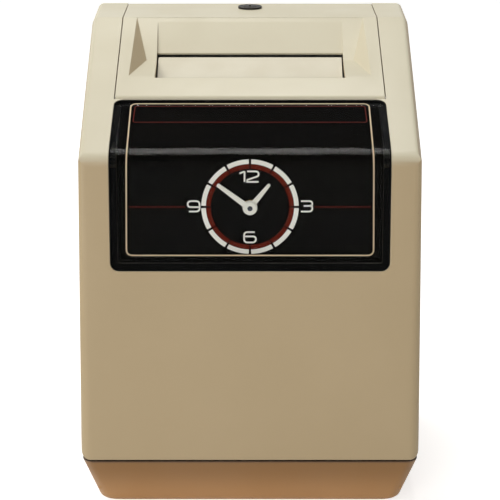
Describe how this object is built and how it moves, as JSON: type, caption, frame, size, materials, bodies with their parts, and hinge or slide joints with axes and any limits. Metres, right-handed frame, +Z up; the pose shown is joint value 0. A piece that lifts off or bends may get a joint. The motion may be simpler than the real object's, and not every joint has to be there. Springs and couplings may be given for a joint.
{
  "type": "mechanical time clock",
  "caption": "Sloped beige time clock with a glazed black dial, a locking hinged lid with a card hopper, and clock, type wheel, ribbon and hammer works inside.",
  "frame": {"origin": "under the middle of the case, on the table", "axes": "+X to the viewer's right, -Y the dial side, +Z up"},
  "size_m": [0.16, 0.15, 0.2202],
  "materials": {
    "case": "satin moulded beige",
    "base": "satin moulded tan",
    "rubber": "matt black",
    "lens": "clear",
    "gasket": "matt black",
    "tray": "gloss black",
    "sheet_steel": "zinc plated sheet",
    "turned_steel": "bright turned",
    "brass": "brushed",
    "motor": "satin can",
    "chute": "beige enamel",
    "type": "cast",
    "ribbon": "inked cloth",
    "coil": "wound and lacquered",
    "black_plastic": "satin black",
    "terminal": "moulded cream",
    "hands": "white enamel",
    "lock": "dull dark plate"
  },
  "bodies": {
    "chassis": {"base_tray": "base", "rubber_feet": "rubber", "case_shell": "case", "face_lens": "lens", "lens_gasket": "gasket", "dial_tray": "tray", "back_plate": "sheet_steel", "left_frame": "sheet_steel", "right_frame": "sheet_steel", "frame_spacers": "turned_steel", "movement_bridge": "brass", "movement_front_plate": "brass", "movement_pillars": "brass", "motion_stud": "turned_steel", "drive_motor": "motor", "shaft_bushes": "brass", "lay_stud": "turned_steel", "chute_front": "chute", "chute_rear": "sheet_steel", "chute_rails": "chute", "ribbon_rods": "turned_steel", "ribbon": "ribbon", "hammer_shaft": "turned_steel", "solenoid_yoke": "sheet_steel", "solenoid_coil": "coil", "card_switch": "black_plastic", "cord_grommet": "rubber", "terminal_block": "terminal", "frame_screws": "turned_steel", "case_screws": "turned_steel", "lid_hinge_pins": "turned_steel", "plunger_spring": "turned_steel"},
    "lid": {"access_lid": "case", "lock_barrel": "lock", "lock_nut": "turned_steel"},
    "lock": {"lock_plug": "lock", "lock_cam": "sheet_steel"},
    "type_train": {"type_shaft": "turned_steel", "drive_wheel": "brass", "shaft_mitre": "brass", "minute_type_wheel": "type", "setting_knob": "black_plastic"},
    "motor_output": {"motor_pinion": "turned_steel"},
    "minute_arbor": {"center_arbor": "turned_steel", "arbor_mitre": "brass", "minute_hand": "hands"},
    "motion": {"motion_wheel": "brass"},
    "hour_arbor": {"hour_wheel": "brass", "hour_hand": "hands"},
    "lay": {"lay_wheel": "brass"},
    "hour_type": {"hour_type_wheel": "type"},
    "date_type": {"date_type_wheel": "type"},
    "hammer": {"hammer_arm": "turned_steel", "hammer_pad": "rubber"},
    "plunger": {"solenoid_plunger": "turned_steel"},
    "trigger": {"card_trigger": "sheet_steel"},
    "spool_upper": {"upper_spool": "black_plastic"},
    "spool_lower": {"lower_spool": "black_plastic"},
    "stop": {"card_stop": "sheet_steel"}
  },
  "joints": [
    {"name": "lid_hinge", "type": "hinge", "parent": "chassis", "child": "lid", "pos_m": [0, -0.0282, 0.18985], "axis": [1, 0, 0], "range_deg": [0, 85]},
    {"name": "lock_turn", "type": "hinge", "parent": "lid", "child": "lock", "pos_m": [0, 0.0596, 0.219], "axis": [0, 0, 1], "range_deg": [0, 90]},
    {"name": "type_shaft_turn", "type": "hinge", "parent": "chassis", "child": "type_train", "pos_m": [0, -0.01023, 0.148], "axis": [1, 0, 0], "continuous": true},
    {"name": "motor_turn", "type": "hinge", "parent": "chassis", "child": "motor_output", "pos_m": [-0.055, -0.02614, 0.13209], "axis": [1, 0, 0], "continuous": true},
    {"name": "minute_turn", "type": "hinge", "parent": "chassis", "child": "minute_arbor", "pos_m": [0, -0.06, 0.148], "axis": [0, 1, 0], "continuous": true},
    {"name": "motion_turn", "type": "hinge", "parent": "chassis", "child": "motion", "pos_m": [0, -0.06, 0.13], "axis": [0, 1, 0], "continuous": true},
    {"name": "hour_turn", "type": "hinge", "parent": "chassis", "child": "hour_arbor", "pos_m": [0, -0.066, 0.148], "axis": [0, 1, 0], "continuous": true},
    {"name": "lay_turn", "type": "hinge", "parent": "chassis", "child": "lay", "pos_m": [0.043, -0.02296, 0.13527], "axis": [1, 0, 0], "continuous": true},
    {"name": "hour_type_turn", "type": "hinge", "parent": "chassis", "child": "hour_type", "pos_m": [0.0246, -0.01023, 0.148], "axis": [1, 0, 0], "continuous": true},
    {"name": "date_turn", "type": "hinge", "parent": "chassis", "child": "date_type", "pos_m": [0.0331, -0.01023, 0.148], "axis": [1, 0, 0], "continuous": true},
    {"name": "hammer_swing", "type": "hinge", "parent": "chassis", "child": "hammer", "pos_m": [0.0246, 0.03209, 0.1148], "axis": [1, 0, 0], "range_deg": [0, 9.5], "stiffness_Nm_per_rad": 0.4, "springref_deg": -5.73},
    {"name": "plunger_slide", "type": "slide", "parent": "chassis", "child": "plunger", "axis": [0, 0, 1], "range_m": [0, 0.0045], "deforming": ["plunger_spring"]},
    {"name": "trigger_swing", "type": "hinge", "parent": "chassis", "child": "trigger", "pos_m": [-0.045, 0.03209, 0.1148], "axis": [1, 0, 0], "range_deg": [0, 9], "stiffness_Nm_per_rad": 0.05, "springref_deg": -11.46},
    {"name": "upper_spool_turn", "type": "hinge", "parent": "chassis", "child": "spool_upper", "pos_m": [0.0246, -0.00423, 0.1795], "axis": [1, 0, 0], "continuous": true},
    {"name": "lower_spool_turn", "type": "hinge", "parent": "chassis", "child": "spool_lower", "pos_m": [0.0246, -0.00423, 0.1165], "axis": [1, 0, 0], "continuous": true},
    {"name": "stop_slide", "type": "slide", "parent": "chassis", "child": "stop", "axis": [0, 0, 1], "range_m": [0, 0.025]}
  ],
  "couplings": [
    {"joint": "motor_turn", "follows": "type_shaft_turn", "ratio": -4},
    {"joint": "minute_turn", "follows": "type_shaft_turn", "ratio": 1},
    {"joint": "motion_turn", "follows": "type_shaft_turn", "ratio": -0.33333},
    {"joint": "hour_turn", "follows": "type_shaft_turn", "ratio": 0.083333},
    {"joint": "lay_turn", "follows": "type_shaft_turn", "ratio": -0.33333},
    {"joint": "hour_type_turn", "follows": "type_shaft_turn", "ratio": 0.083333},
    {"joint": "plunger_slide", "follows": "hammer_swing", "m_per_rad": 0.02597},
    {"joint": "lower_spool_turn", "follows": "upper_spool_turn", "ratio": 1}
  ]
}
